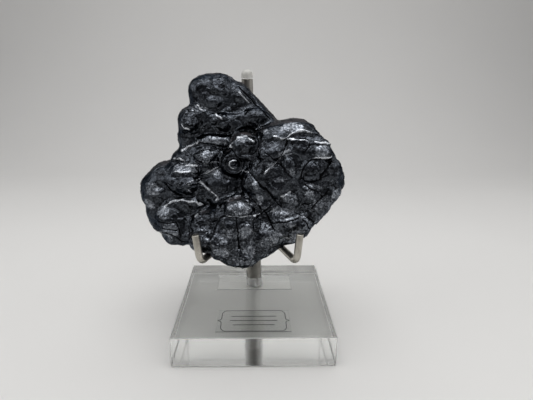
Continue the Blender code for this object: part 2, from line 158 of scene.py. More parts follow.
# The stone's features are given as seen from the front: x and z, sizes and rises.
# Rounded knobs: middle x and z, half width and half height, rise
BUMPS = {
    "chin_crown": (-6.1, 72.3, 6.9, 3.9, 1.4),
    "side_crown": (28.5, 96.5, 2.6, 2.1, 0.6),
    "crown_nub_a": (-17.8, 120.7, 1.9, 1.6, 0.55),
    "crown_nub_b": (-13.2, 119.7, 1.9, 1.6, 0.55),
    "crown_nub_c": (-21.3, 118.1, 2.1, 1.8, 0.35),
    "crown_edge_a": (-10.5, 125.3, 1.5, 1.5, 0.5),
    "crown_edge_b": (-8.6, 123.5, 1.4, 1.2, 0.5),
    "crown_foot_a": (-11.8, 111.8, 1.6, 1.2, 0.6),
    "crown_foot_b": (-9.7, 113.8, 1.6, 1.4, 0.6),
    "crown_side_a": (-12.7, 115.3, 1.6, 1.9, 0.5),
    "row_a": (-27.8, 111.9, 1.4, 1.2, 0.7),
    "row_b": (-25.6, 113.4, 1.4, 1.2, 0.6),
    "row_c": (-22.4, 110.7, 1.4, 0.9, 0.6),
    "row_d": (-19.8, 112.3, 1.4, 1.1, 0.7),
    "row_e": (-17.5, 112.4, 1.4, 1.1, 0.7),
    "row_f": (-30.6, 110.7, 1.6, 1.2, 0.6),
    "lobe_a": (-26.3, 101.8, 1.9, 1.6, 0.8),
    "lobe_b": (-28.1, 104.9, 1.8, 1.6, 0.5),
    "lobe_c": (-32.0, 103.1, 1.6, 2.3, 0.5),
    "lobe_d": (-22.8, 105.8, 1.4, 1.8, 0.4),
    "mid_a": (-18.1, 107.0, 1.8, 1.6, 0.9),
    "mid_b": (-13.6, 109.0, 1.4, 1.2, 0.7),
    "mid_c": (-14.5, 105.1, 1.8, 1.8, 0.4),
    "spot_low": (-8.2, 101.5, 1.4, 1.1, 1.0),
    "bead_bump": (-25.1, 64.5, 2.1, 2.7, 0.8),
    "chin_nub_a": (-20.6, 58.6, 1.3, 1.3, 0.6),
    "chin_nub_b": (-10.8, 64.5, 2.6, 2.1, 0.4),
    "chin_nub_c": (-2.6, 64.1, 3.0, 2.6, 0.4),
    "chin_nub_d": (-13.8, 55.9, 3.0, 2.2, 0.4),
    "chin_nub_e": (-3.6, 54.9, 2.6, 2.2, 0.4),
    "cross_left": (6.0, 91.5, 2.1, 1.7, 0.6),
    "cross_below": (7.5, 87.4, 2.6, 2.1, 0.4),
    "cross_right": (14.4, 90.7, 2.5, 2.5, 0.5),
    "side_top": (30.7, 100.1, 1.3, 1.1, 0.5),
    "side_low": (36.2, 85.4, 2.0, 2.2, 0.6),
    "side_next": (32.8, 88.6, 1.7, 2.2, 0.4),
    "link_b": (-0.8, 91.7, 1.5, 1.1, 0.6),
    "link_c": (2.2, 93.5, 1.5, 1.0, 0.5),
    "below_ring_a": (-4.8, 84.1, 2.0, 1.6, 0.6),
    "below_ring_b": (0.5, 81.6, 1.7, 1.7, 0.6),
    "panel_a": (13.9, 76.6, 3.0, 2.2, 0.5),
    "right_e2": (22.1, 64.1, 1.8, 2.2, 0.5),
    "valley_fill": (-3.9, 81.2, 2.0, 5.7, 1.4),
}
# Shelves and brows: points, rise, reach above or left of them, reach below or right
CRESTS = {
    "crown_rim": (((-29.1, 121.2), (-26.8, 124.0), (-23.2, 125.4), (-18.8, 126.1),
                   (-13.5, 126.3)), 0.6, 2.8, 6.6),
    "crown_row": (((-31.5, 110.5), (-29.0, 111.4), (-26.4, 111.9), (-24.0, 110.9), (-21.6, 110.4),
                   (-19.1, 111.8), (-16.5, 112.0)), 0.5, 1.4, 1.4),
    "shoulder_brow": (((-9.7, 107.9), (-7.4, 108.7), (-5.2, 110.3), (-2.1, 111.6), (1.5, 111.8),
                       (3.3, 110.6)), 0.8, 2.8, 6.9),
    "shoulder_edge": (((-33.0, 93.3), (-29.4, 95.7), (-24.5, 97.7)), 0.6, 1.9, 1.4),
    "ledge": (((-25.1, 98.2), (-21.3, 98.2), (-17.6, 98.1), (-14.6, 96.7), (-9.9, 97.1)), 1.2, 3.6, 1.4),
    "brow": (((-25.7, 91.2), (-22.8, 89.9), (-20.6, 89.9), (-18.1, 91.7)), 0.9, 5.4, 1.4),
    "band": (((-37.2, 84.2), (-33.4, 84.1), (-28.9, 84.3), (-25.7, 85.5)), 0.9, 4.1, 1.4),
    "band_low": (((-38.0, 79.8), (-35.0, 79.9), (-32.2, 81.2)), 0.5, 2.3, 1.4),
    "plate": (((-24.8, 83.2), (-20.5, 84.9), (-15.0, 87.9)), 0.7, 4.1, 0.9),
    "knuckle": (((-32.7, 78.4), (-30.3, 79.5), (-27.1, 80.3), (-24.3, 80.3)), 0.9, 2.3, 0.9),
    "cheek": (((-49.6, 77.4), (-47.1, 79.0), (-44.2, 80.1), (-41.1, 80.8)), 0.5, 2.4, 2.4),
    "cheek_middle": (((-48.7, 74.1), (-45.6, 75.1), (-43.2, 75.0)), 0.6, 2.4, 1.9),
    "cheek_low": (((-50.5, 68.4), (-47.7, 69.2), (-45.0, 68.9)), 0.6, 2.4, 1.9),
    "jaw": (((-44.5, 65.0), (-41.8, 67.9), (-40.2, 69.5), (-38.1, 70.6), (-33.7, 71.7),
             (-30.4, 72.1), (-27.4, 71.8), (-23.7, 70.1)), 1.0, 1.9, 3.3),
    "jaw_tick": (((-27.0, 65.2), (-24.7, 66.8), (-22.6, 67.5)), 0.5, 1.1, 1.1),
    "chin_rim": (((-14.1, 67.2), (-11.9, 68.4), (-6.7, 68.4), (-3.5, 68.3), (-0.0, 68.0),
                  (2.5, 68.9)), 0.9, 6.5, 1.3),
    "chin_edge": (((-18.9, 58.0), (-17.7, 60.9), (-16.0, 64.7), (-14.0, 66.9)), 0.6, 1.3, 2.2),
    "face_brow": (((4.9, 100.5), (8.4, 101.4), (11.2, 101.1), (14.1, 101.2), (16.3, 103.0),
                   (18.7, 104.0), (21.4, 104.0), (24.6, 103.0)), 0.9, 5.6, 1.3),
    "oval_edge": (((14.2, 100.3), (17.1, 100.7), (20.4, 100.5), (23.5, 99.4)), 0.4, 1.1, 0.9),
    "side_patch": (((24.1, 93.0), (27.9, 93.5), (32.5, 93.4)), 1.1, 5.6, 1.1),
    "side_top": (((25.2, 99.3), (28.1, 99.0), (31.8, 98.6)), 0.5, 2.2, 0.9),
    "cross_patch": (((7.4, 93.9), (9.9, 94.5), (12.1, 95.7), (15.4, 96.5)), 1.0, 4.7, 1.3),
    "cross_low": (((3.7, 86.5), (5.6, 87.9), (7.5, 89.6), (9.7, 91.6)), 0.7, 3.8, 1.1),
    "boss": (((20.0, 85.6), (20.5, 87.9), (21.6, 90.0), (23.0, 91.7), (24.5, 92.9)), 0.6, 1.7, 1.7),
    "satin_top": (((20.6, 79.0), (24.8, 79.6), (30.1, 81.0)), 0.4, 3.5, 0.9),
    "satin_left": (((11.6, 72.8), (15.4, 74.1), (19.0, 75.5)), 0.45, 4.8, 0.9),
    "satin_middle": (((21.3, 73.7), (24.6, 74.4), (27.2, 75.7)), 0.45, 3.9, 0.9),
    "satin_right": (((32.8, 73.8), (36.4, 74.3), (38.2, 76.6)), 0.4, 4.0, 0.9),
    "satin_low": (((26.0, 71.2), (29.0, 72.3), (31.8, 73.5)), 0.35, 2.6, 0.9),
    "foot_line": (((6.9, 64.5), (10.7, 65.6), (14.4, 65.9), (16.8, 66.4), (19.3, 67.3)), 0.5, 1.7, 0.9),
    "link": (((-1.9, 99.6), (1.1, 98.9), (3.6, 99.9)), 0.5, 2.2, 1.1),
    "spot_right": (((1.6, 102.7), (4.1, 103.4), (7.1, 104.1)), 0.7, 2.2, 1.1),
    "hole_arc": (((-37.7, 88.8), (-34.3, 89.8), (-31.0, 89.2)), 0.5, 1.9, 0.9),
    "panel": (((-2.3, 73.8), (0.7, 72.7), (4.2, 70.8)), 0.4, 3.9, 1.1),
    "below_split": (((5.1, 70.9), (8.6, 70.8), (12.1, 72.1)), 0.4, 3.1, 1.1),
    "flank": (((25.2, 71.3), (29.0, 75.7), (32.3, 79.3)), 0.4, 1.8, 0.9),
    "foot_bulge": (((3.4, 61.1), (6.9, 60.0), (11.3, 59.7), (16.4, 61.8)), 0.4, 2.6, 2.2),
    "chin_bulge": (((-15.8, 57.1), (-12.5, 57.4), (-9.1, 57.5)), 0.4, 2.6, 2.2),
    "chin_bulge_right": (((-5.3, 55.5), (-1.8, 56.2), (1.7, 58.1)), 0.4, 2.6, 2.2),
    "chin_crumb": (((-6.2, 50.2), (-3.1, 50.6), (-0.1, 49.6)), 0.5, 1.3, 0.9),
}
# Dished places: middle x and z, half width and half height, depth
HOLLOWS = {
    "ring_flat": (-3.4, 99.1, 4.3, 4.3, 1.3),
    "oval_a": (5.9, 98.6, 3.2, 2.3, 0.9),
    "oval_b": (20.6, 102.1, 2.8, 1.2, 0.7),
    "oval_c": (18.7, 98.0, 4.0, 2.5, 0.9),
    "oval_left": (-35.0, 82.9, 2.1, 1.1, 0.7),
    "oval_band": (-31.9, 88.1, 1.9, 0.7, 0.4),
    "oval_small": (-14.5, 121.4, 1.4, 1.4, 0.4),
    "crown_dip_a": (-23.7, 120.0, 1.8, 2.8, 0.5),
    "crown_dip_b": (-18.9, 117.9, 2.3, 1.6, 0.4),
    "crown_dip_c": (-15.8, 123.5, 2.3, 1.9, 0.5),
    "lobe_dip": (-28.9, 107.7, 3.2, 1.8, 0.4),
    "mid_dip": (-20.4, 104.1, 2.8, 2.3, 0.4),
    "right_dip": (-3.4, 106.9, 3.6, 3.2, 0.6),
    "right_dip_low": (3.3, 107.0, 3.6, 1.8, 0.5),
    "cheek_dip_a": (-42.8, 77.9, 1.9, 1.9, 0.5),
    "cheek_dip_b": (-47.1, 73.4, 1.9, 1.2, 0.4),
    "jaw_dip": (-30.5, 67.2, 4.6, 2.3, 0.7),
    "chin_dip": (-10.8, 67.4, 2.6, 1.1, 0.3),
}
# Small pits, coloured dark as painted shade: x, z, radius, depth
PITS = {
    "pit_a": (15.5, 76.2, 0.5, 0.7),
    "pit_b": (11.4, 73.6, 0.5, 0.7),
    "pit_c": (25.9, 80.7, 0.5, 0.7),
    "pit_d": (26.1, 76.4, 0.5, 0.7),
    "pit_e": (33.4, 74.0, 0.5, 0.6),
    "pit_f": (6.1, 84.7, 0.4, 0.5),
    "pit_g": (11.3, 85.1, 0.4, 0.4),
    "pit_h": (19.7, 84.5, 0.6, 0.5),
    "pit_i": (19.1, 56.9, 0.4, 0.5),
    "pit_j": (32.2, 78.0, 0.4, 0.5),
    "pit_k": (29.7, 80.8, 0.4, 0.4),
    "pit_l": (0.1, 77.3, 0.4, 0.4),
    "pit_m": (-3.5, 58.6, 0.4, 0.4),
    "pit_n": (-6.3, 63.9, 0.4, 0.4),
}
# Hairline cracks, coloured black as painted shade
CRACKS = {
    "cross_up": ((9.4, 91.8), (11.1, 94.1), (12.6, 96.3), (13.4, 98.6), (14.0, 100.7)),
    "cross_left": ((9.4, 91.8), (7.0, 94.1), (4.6, 95.5)),
    "cross_right": ((9.4, 91.8), (11.3, 90.1), (13.4, 87.8), (16.1, 84.6)),
    "oval_c_right": ((23.4, 100.0), (23.0, 98.0), (21.7, 96.3), (20.5, 95.4)),
    "boss_left": ((20.0, 85.4), (20.5, 87.9), (21.6, 90.0), (23.0, 91.7), (24.5, 92.9)),
    "boss_top": ((24.5, 92.9), (28.3, 93.2), (30.8, 92.5), (32.5, 91.8)),
    "boss_right": ((32.5, 91.8), (31.5, 89.9), (29.8, 87.2), (28.1, 84.5), (26.6, 83.6)),
    "boss_low": ((20.0, 84.6), (22.2, 83.3), (24.4, 82.8), (26.6, 83.6)),
    "split_a": ((-2.0, 86.6), (1.4, 83.7), (3.3, 81.3), (5.9, 78.7), (8.1, 75.7), (11.2, 72.2)),
    "split_b": ((-2.5, 76.9), (-0.6, 74.8), (1.6, 72.6), (4.3, 70.5)),
    "split_link": ((4.3, 70.5), (5.5, 71.3), (7.2, 72.5)),
    "split_c": ((4.3, 70.2), (6.0, 66.8), (7.4, 64.3), (8.7, 62.4)),
    "foot_line": ((6.9, 64.8), (10.7, 65.8), (14.4, 66.1), (16.8, 66.6), (19.3, 67.5)),
    "chin_edge": ((-18.6, 58.9), (-17.7, 60.9), (-16.0, 64.7), (-14.0, 66.9), (-11.9, 68.5)),
    "chin_down": ((-7.7, 67.9), (-7.4, 64.8), (-6.9, 61.0), (-6.7, 54.3)),
    "right_diag": ((32.2, 79.6), (29.0, 76.1), (26.8, 73.8), (25.2, 71.7)),
    "right_lip": ((21.4, 82.4), (24.3, 80.0), (27.0, 79.3), (29.6, 76.7)),
    "edge_layer": ((21.2, 66.8), (23.0, 64.8), (24.5, 61.7)),
    "edge_layer_b": ((23.8, 67.7), (25.3, 65.8), (26.5, 63.6)),
    "plate_side": ((-24.9, 87.5), (-25.2, 85.5), (-25.4, 82.9)),
    "growth_a": ((-47.4, 58.9), (-42.0, 59.6), (-38.5, 59.7), (-35.0, 59.3)),
    "growth_b": ((-45.6, 55.9), (-40.1, 57.8), (-36.0, 56.9), (-32.8, 53.9), (-28.5, 54.8)),
    "growth_c": ((-35.0, 62.9), (-33.8, 59.0), (-33.1, 56.5)),
    "growth_d": ((-46.4, 62.7), (-42.8, 62.5), (-38.9, 62.4), (-35.2, 63.2)),
    "edge_line_a": ((-7.3, 122.1), (-3.9, 118.9), (-0.3, 115.1), (3.3, 111.7), (6.9, 108.2)),
}
# Pale, slightly raised scars and worn rims; their pale colour is partly a painted highlight along the
# ridges
SCARS = {
    "ring_arc": ((-9.4, 96.7), (-8.7, 99.4), (-6.7, 101.3), (-3.7, 102.3), (-1.1, 101.2), (0.2, 99.3)),
    "ring_inner": ((-8.0, 91.0), (-9.3, 91.4), (-10.5, 90.5), (-10.9, 89.0), (-10.1, 87.7), (-8.5, 87.5)),
    "cross_arm": ((9.7, 91.7), (7.5, 89.9), (5.6, 88.2), (4.2, 86.8)),
    "cross_shelf": ((10.1, 92.5), (11.3, 94.4), (13.1, 96.1), (15.3, 96.9)),
    "top_line": ((8.4, 101.7), (11.2, 101.2), (14.1, 101.4), (16.3, 103.2), (18.7, 104.2),
                 (21.5, 104.3), (24.1, 103.4)),
    "oval_c_top": ((14.0, 100.8), (17.1, 101.2), (20.5, 100.9), (23.4, 100.0)),
    "patch_low": ((24.7, 93.6), (27.8, 93.9), (32.1, 94.0)),
    "chin_rim": ((-11.9, 68.5), (-9.5, 68.8), (-6.7, 68.6), (-3.5, 68.5), (-0.0, 68.1), (2.4, 68.7)),
    "hole_arc": ((-36.8, 89.7), (-34.2, 90.2), (-31.4, 89.6)),
    "shoulder_edge": ((-33.0, 93.3), (-29.4, 95.7), (-24.5, 97.7)),
    "band_a": ((-31.0, 87.5), (-28.5, 87.8), (-25.7, 87.8)),
    "band_b": ((-35.5, 84.6), (-32.0, 84.6), (-28.4, 84.8)),
    "plate_top": ((-22.6, 89.1), (-19.4, 89.4), (-15.3, 89.5)),
    "plate_low": ((-24.7, 83.4), (-20.5, 85.1), (-15.4, 87.8)),
    "knuckle_a": ((-30.1, 80.3), (-27.5, 81.4), (-24.9, 81.7)),
    "knuckle_b": ((-29.6, 79.5), (-27.1, 80.0), (-24.6, 80.0)),
    "scratch_a": ((-30.5, 78.5), (-29.4, 77.6), (-28.4, 76.1)),
    "scratch_b": ((-24.0, 79.9), (-22.1, 78.4), (-20.4, 77.1)),
    "scratch_c": ((-19.4, 76.4), (-18.2, 75.6), (-16.9, 74.7)),
    "scratch_d": ((-16.4, 74.2), (-16.6, 73.4), (-17.2, 72.7)),
    "jaw_arc": ((-41.6, 66.8), (-40.1, 68.9), (-38.1, 70.6), (-33.7, 71.7), (-30.4, 72.1),
                (-27.4, 71.8), (-23.7, 70.1)),
    "jaw_tick": ((-26.2, 65.8), (-24.7, 66.8), (-23.0, 67.4)),
    "crown_bent": ((-27.8, 112.4), (-25.3, 113.9), (-24.3, 112.4), (-22.7, 110.9)),
    "mid_line": ((-17.5, 110.3), (-16.3, 109.4), (-14.7, 108.3)),
    "lobe_line": ((-32.7, 105.8), (-31.1, 104.4), (-29.1, 103.5)),
    "low_tick": ((11.5, 76.9), (13.2, 77.7), (15.3, 78.7)),
    "ring_link": ((-6.3, 86.5), (-4.1, 86.5), (-2.0, 86.6)),
    "edge_line_b": ((-7.0, 119.7), (-4.3, 116.9), (-2.5, 114.9)),
    "patch_top": ((25.8, 100.0), (28.2, 99.5), (31.6, 99.0)),
}
# Growth rings: x, z, radius of the moat
RINGS = {
    "big": (-3.8, 98.9, 5.0),
    "small": (-9.1, 89.6, 2.9),
}
# Satin patches: middle x and z, half width and half height. The satin_ ones are weathered skin; the bright_
# ones are painted highlights, lighter reflectance where the lobes catch the overhead light.
SATIN_AND_HIGHLIGHTS = {
    "bright_face_top": (16.4, 105.5, 6.0, 2.4),
    "bright_brow": (-21.5, 92.7, 4.1, 3.2),
    "bright_band": (-30.4, 86.1, 6.5, 2.8),
    "bright_side": (28.5, 96.5, 3.4, 2.8),
    "bright_chin_top": (-6.1, 73.3, 6.5, 3.9),
    "bright_cheek": (-46.6, 75.9, 3.8, 3.3),
    "bright_cheek_low": (-48.8, 68.8, 3.4, 2.9),
    "bright_ledge": (-17.2, 98.6, 6.8, 1.6),
    "bright_cross": (12.5, 95.3, 3.4, 1.7),
    "bright_cross_low": (6.7, 89.9, 2.1, 1.7),
    "bright_ring": (-5.8, 100.8, 2.2, 1.8),
    "bright_row": (-25.5, 112.1, 6.6, 1.4),
    "bright_link": (3.3, 103.7, 3.6, 1.3),
    "bright_plate": (-19.2, 84.8, 4.1, 1.8),
    "satin_a": (24.4, 81.2, 3.9, 1.6),
    "satin_b": (15.4, 76.4, 3.5, 2.6),
    "satin_c": (23.7, 78.0, 2.6, 2.2),
    "satin_d": (35.5, 77.5, 2.7, 2.7),
    "satin_e": (28.2, 73.6, 3.5, 2.0),
    "satin_f": (10.3, 84.2, 4.7, 1.5),
    "satin_g": (1.2, 75.1, 3.0, 3.0),
    "satin_h": (10.0, 59.5, 5.3, 3.5),
    "satin_i": (15.0, 65.6, 3.9, 2.6),
    "satin_j": (0.5, 82.0, 1.9, 2.1),
    "satin_k": (16.1, 87.7, 1.7, 1.7),
    "satin_l": (-3.5, 62.4, 3.0, 3.9),
    "satin_m": (-12.1, 58.6, 3.9, 3.0),
    "satin_n": (-38.1, 59.0, 5.1, 3.7),
    "satin_o": (23.5, 63.8, 2.2, 2.6),
    "satin_p": (11.7, 70.2, 5.2, 2.2),
    "satin_q": (-13.9, 53.5, 5.2, 2.6),
    "satin_r": (-1.8, 52.9, 4.0, 3.1),
    "satin_s": (-41.8, 66.5, 3.8, 3.3),
}


def linear(code):
    """An sRGB hex colour as linear red, green, blue and alpha."""
    parts = [int(code[i:i + 2], 16) / 255 for i in (0, 2, 4)]
    return (*[c / 12.92 if c <= 0.04045 else ((c + 0.055) / 1.055) ** 2.4 for c in parts], 1.0)


def add(material, kind, values=None, **settings):
    """Adds one shader node, and sets its inputs by name or number to a number, a colour or an output."""
    made = material.node_tree.nodes.new("ShaderNode" + kind)
    for name, setting in settings.items():
        setattr(made, name, setting)
    for name, value in (values or {}).items():
        if isinstance(value, bpy.types.NodeSocket):
            material.node_tree.links.new(value, made.inputs[name])
        else:
            made.inputs[name].default_value = value
    return made


def new_material(name):
    """An empty material and a call that adds nodes to it."""
    made = bpy.data.materials.new(name)
    made.use_nodes = True
    made.node_tree.nodes.clear()
    return made


def finish_material(made, shader, volume=None):
    """The material with its surface, and its volume where it has one, joined to the output."""
    values = {"Surface": shader.outputs[0]}
    if volume:
        values["Volume"] = volume.outputs[0]
    add(made, "OutputMaterial", values)
    return made


def hematite_material():
    """Hematite, a dense iron oxide grown as rounded crusts.

    Its skin is near black with a submetallic shine, and weathered to a blue-grey satin in patches; the
    brighter patches on the lobes' upper faces are painted highlights. Cracks, pits and the rings' moats are
    coloured black as painted shade, scars and worn rims are pale and powdery and partly a painted highlight
    along their ridges, and the broken back is dull, rugged and dusted red-brown. Its grain is drawn coarser
    than the real one, so that it shows."""
    made = new_material("hematite, grown skin with weathered satin patches")
    place = add(made, "TexCoord").outputs["Object"]
    crack = add(made, "Attribute", attribute_name="crack").outputs["Fac"]
    scar = add(made, "Attribute", attribute_name="scar").outputs["Fac"]
    pit = add(made, "Attribute", attribute_name="pit").outputs["Fac"]
    # the satin mark is weathered satin, and a painted highlight in the bright_ patches
    satin = add(made, "Attribute", attribute_name="satin").outputs["Fac"]
    broken = add(made, "Attribute", attribute_name="broken").outputs["Fac"]
    patches = add(made, "TexNoise", {"Vector": place, "Scale": 1 / (5 * MM), "Detail": 4.0,
                                     "Roughness": 0.65})
    grain = add(made, "TexNoise", {"Vector": place, "Scale": 1 / (1.1 * MM), "Detail": 1.0,
                                   "Roughness": 0.5})
    flecks = add(made, "TexNoise", {"Vector": place, "Scale": 1 / (0.9 * MM), "Detail": 3.0,
                                    "Roughness": 0.65})
    scrawl = add(made, "TexNoise", {"Vector": place, "Scale": 1 / (2.4 * MM), "Detail": 2.0,
                                    "Roughness": 0.5, "Distortion": 1.5})
    middle = add(made, "Math", {0: scrawl.outputs["Fac"], 1: 0.5}, operation="SUBTRACT")
    crease = add(made, "Math", {0: middle.outputs[0]}, operation="ABSOLUTE")
    folds = add(made, "MapRange", {"Value": crease.outputs[0], "From Min": 0.01, "From Max": 0.06})
    spots = add(made, "MapRange", {"Value": flecks.outputs["Fac"], "From Min": 0.4, "From Max": 0.6})
    glint = add(made, "Math", {0: folds.outputs[0], 1: spots.outputs[0]}, operation="MULTIPLY")
    blotch = add(made, "MapRange", {"Value": patches.outputs["Fac"], "From Min": 0.42, "From Max": 0.6})

    # colours: dark skin with glints, satin bloom in ragged patches, which is a painted highlight in the
    # bright_ patches, dusty fracture
    dark = add(made, "Mix", {0: blotch.outputs[0], 6: linear("1B1C1E"), 7: linear("35383D")},
               data_type="RGBA")
    skin = add(made, "Mix", {0: glint.outputs[0], 6: dark.outputs[2], 7: linear("51555B")},
               data_type="RGBA")
    satin_and_highlight_tone = add(made, "Mix", {0: glint.outputs[0], 6: linear("4C5056"), 7: linear("A6ABB3")},
                data_type="RGBA")
    mottle = add(made, "Math", {0: patches.outputs["Fac"], 1: 2.0, 2: flecks.outputs["Fac"]},
                 operation="MULTIPLY_ADD")
    ragged = add(made, "Math", {0: mottle.outputs[0], 1: satin}, operation="ADD")
    patch = add(made, "MapRange", {"Value": ragged.outputs[0], "From Min": 2.1, "From Max": 2.5})
    dressed = add(made, "Mix", {0: patch.outputs[0], 6: skin.outputs[2], 7: satin_and_highlight_tone.outputs[2]},
                  data_type="RGBA")
    dust = add(made, "Mix", {0: blotch.outputs[0], 6: linear("211F20"), 7: linear("473A37")},
               data_type="RGBA")
    whole = add(made, "Mix", {0: broken, 6: dressed.outputs[2], 7: dust.outputs[2]}, data_type="RGBA")

    # pale frayed scars over it, partly a painted highlight along their ridges, then painted shade: black in
    # cracks, pits and ring moats
    frayed_scar = add(made, "Math", {0: mottle.outputs[0], 1: 0.9, 2: scar}, operation="MULTIPLY_ADD")
    # pale scar colour: worn rims, partly a painted highlight along the ridges
    wear_and_highlight = add(made, "MapRange", {"Value": frayed_scar.outputs[0], "From Min": 1.72, "From Max": 1.5})
    edged = add(made, "Mix", {0: wear_and_highlight.outputs[0], 6: whole.outputs[2], 7: linear("C4C8CE")},
                data_type="RGBA")
    frayed_crack = add(made, "Math", {0: flecks.outputs["Fac"], 1: 0.5, 2: crack}, operation="MULTIPLY_ADD")
    gap = add(made, "MapRange", {"Value": frayed_crack.outputs[0], "From Min": 0.66, "From Max": 0.5})
    hole = add(made, "Math", {0: gap.outputs[0], 1: pit}, operation="MAXIMUM")
    # painted shade: cracks, pits and ring moats coloured near black
    crack_and_pit_shade = add(made, "Mix", {0: hole.outputs[0], 6: edged.outputs[2], 7: linear("101012")},
               data_type="RGBA")

    # roughness: glossy skin, softer satin, dull fracture and holes
    worn = add(made, "MapRange", {"Value": patches.outputs["Fac"], "From Min": 0.35, "From Max": 0.65,
                                  "To Min": 0.09, "To Max": 0.22})
    softer = add(made, "Math", {0: patch.outputs[0], 1: 0.16, 2: worn.outputs[0]}, operation="MULTIPLY_ADD")
    dull = add(made, "Math", {0: broken, 1: 0.4, 2: softer.outputs[0]}, operation="MULTIPLY_ADD")
    rough = add(made, "Math", {0: hole.outputs[0], 1: 0.4, 2: dull.outputs[0]}, operation="MULTIPLY_ADD",
                use_clamp=True)
    powdery = add(made, "Math", {0: wear_and_highlight.outputs[0], 1: 0.35, 2: broken}, operation="MULTIPLY_ADD")
    fresh = add(made, "Math", {0: 1.0, 1: powdery.outputs[0]}, operation="SUBTRACT", use_clamp=True)

    # relief: grain with creased folds, and splinters on the fracture
    height = add(made, "Math", {0: folds.outputs[0], 1: 0.2, 2: grain.outputs["Fac"]},
                 operation="MULTIPLY_ADD")
    splinters = add(made, "Math", {0: flecks.outputs["Fac"], 1: broken}, operation="MULTIPLY")
    rugged = add(made, "Math", {0: splinters.outputs[0], 1: 2.5, 2: height.outputs[0]},
                 operation="MULTIPLY_ADD")
    ripple = add(made, "Bump", {"Height": rugged.outputs[0], "Distance": 0.2 * MM, "Strength": 0.5})
    shader = add(made, "BsdfPrincipled", {"Base Color": crack_and_pit_shade.outputs[2], "Metallic": fresh.outputs[0],
                                          "Specular Tint": linear("A8ABB0"), "Roughness": rough.outputs[0],
                                          "Normal": ripple.outputs[0]})
    return finish_material(made, shader)


def acrylic_material():
    """Cast acrylic with diamond-polished faces: clear and colourless, with faint rubbing marks.

    Its small chamfers are scraped and left matt, which draws them pale. The drilled hole is matt too.
    """
    made = new_material("cast acrylic, diamond polished")
    place = add(made, "TexCoord").outputs["Object"]
    rubbed = add(made, "Mapping", {"Vector": place, "Rotation": (0.0, 0.0, 0.5), "Scale": (1.0, 9.0, 1.0)})
    marks = add(made, "TexNoise", {"Vector": rubbed.outputs[0], "Scale": 1 / (6 * MM), "Detail": 3.0})
    rubs = add(made, "MapRange", {"Value": marks.outputs["Fac"], "From Min": 0.45, "From Max": 0.75,
                                  "To Min": 0.05, "To Max": 0.11})
    normal = add(made, "NewGeometry").outputs["Normal"]
    unsigned = add(made, "VectorMath", {0: normal}, operation="ABSOLUTE")
    parts = add(made, "SeparateXYZ", {"Vector": unsigned.outputs[0]})
    wider = add(made, "Math", {0: parts.outputs["X"], 1: parts.outputs["Y"]}, operation="MAXIMUM")
    widest = add(made, "Math", {0: wider.outputs[0], 1: parts.outputs["Z"]}, operation="MAXIMUM")
    upright = add(made, "MapRange", {"Value": parts.outputs["Z"], "From Min": 0.9, "From Max": 0.1,
                                     "To Min": 0.0, "To Max": 0.05})
    scraped = add(made, "MapRange", {"Value": widest.outputs[0], "From Min": 0.98, "From Max": 0.94,
                                     "To Min": 0.0, "To Max": 0.6})
    edge = add(made, "Math", {0: upright.outputs[0], 1: scraped.outputs[0]}, operation="ADD")
    rod = add(made, "Mapping", {"Vector": place, "Location": tuple(Vector(ROD_FOOT) * MM),
                                "Rotation": (0.0, -math.radians(ROD_LEAN), 0.0)}, vector_type="TEXTURE")
    flat = add(made, "VectorMath", {0: rod.outputs[0], 1: (1.0, 1.0, 0.0)}, operation="MULTIPLY")
    off = add(made, "VectorMath", {0: flat.outputs[0]}, operation="LENGTH")
    bore = add(made, "MapRange", {"Value": off.outputs["Value"], "From Min": (HOLE_RADIUS + 0.4) * MM,
                                  "From Max": (HOLE_RADIUS + 0.2) * MM, "To Min": 0.0, "To Max": 0.5})
    sides = add(made, "Math", {0: rubs.outputs[0], 1: edge.outputs[0]}, operation="ADD")
    haze = add(made, "Math", {0: sides.outputs[0], 1: bore.outputs[0]}, operation="MAXIMUM")
    relief = add(made, "Bump", {"Height": marks.outputs["Fac"], "Distance": 0.004 * MM, "Strength": 0.3})
    shader = add(made, "BsdfPrincipled", {"Base Color": linear("FDFEFD"), "Roughness": haze.outputs[0],
                                          "IOR": 1.49, "Transmission Weight": 1.0,
                                          "Normal": relief.outputs[0]})
    inside = add(made, "VolumeAbsorption", {"Color": linear("E6EBE8"), "Density": 1.0})
    return finish_material(made, shader, inside)


def steel_material(name, tone, low, high):
    """Drawn and tumbled steel: a soft satin shine with fine drawing lines along its length."""
    made = new_material(name)
    place = add(made, "TexCoord").outputs["Object"]
    along = add(made, "Mapping", {"Vector": place, "Scale": (1.0, 1.0, 0.06)})
    lines = add(made, "TexNoise", {"Vector": along.outputs[0], "Scale": 1 / (0.35 * MM), "Detail": 2.0})
    cloud = add(made, "TexNoise", {"Vector": place, "Scale": 1 / (4 * MM), "Detail": 3.0})
    tint = add(made, "MapRange", {"Value": cloud.outputs["Fac"], "From Min": 0.35, "From Max": 0.65})
    colour = add(made, "Mix", {0: tint.outputs[0], 6: linear(tone[0]), 7: linear(tone[1])},
                 data_type="RGBA")
    rough = add(made, "MapRange", {"Value": lines.outputs["Fac"], "From Min": 0.3, "From Max": 0.7,
                                   "To Min": low, "To Max": high})
    relief = add(made, "Bump", {"Height": lines.outputs["Fac"], "Distance": 0.02 * MM, "Strength": 0.5})
    shader = add(made, "BsdfPrincipled", {"Base Color": colour.outputs[2], "Metallic": 1.0,
                                          "Roughness": rough.outputs[0], "Normal": relief.outputs[0]})
    return finish_material(made, shader)


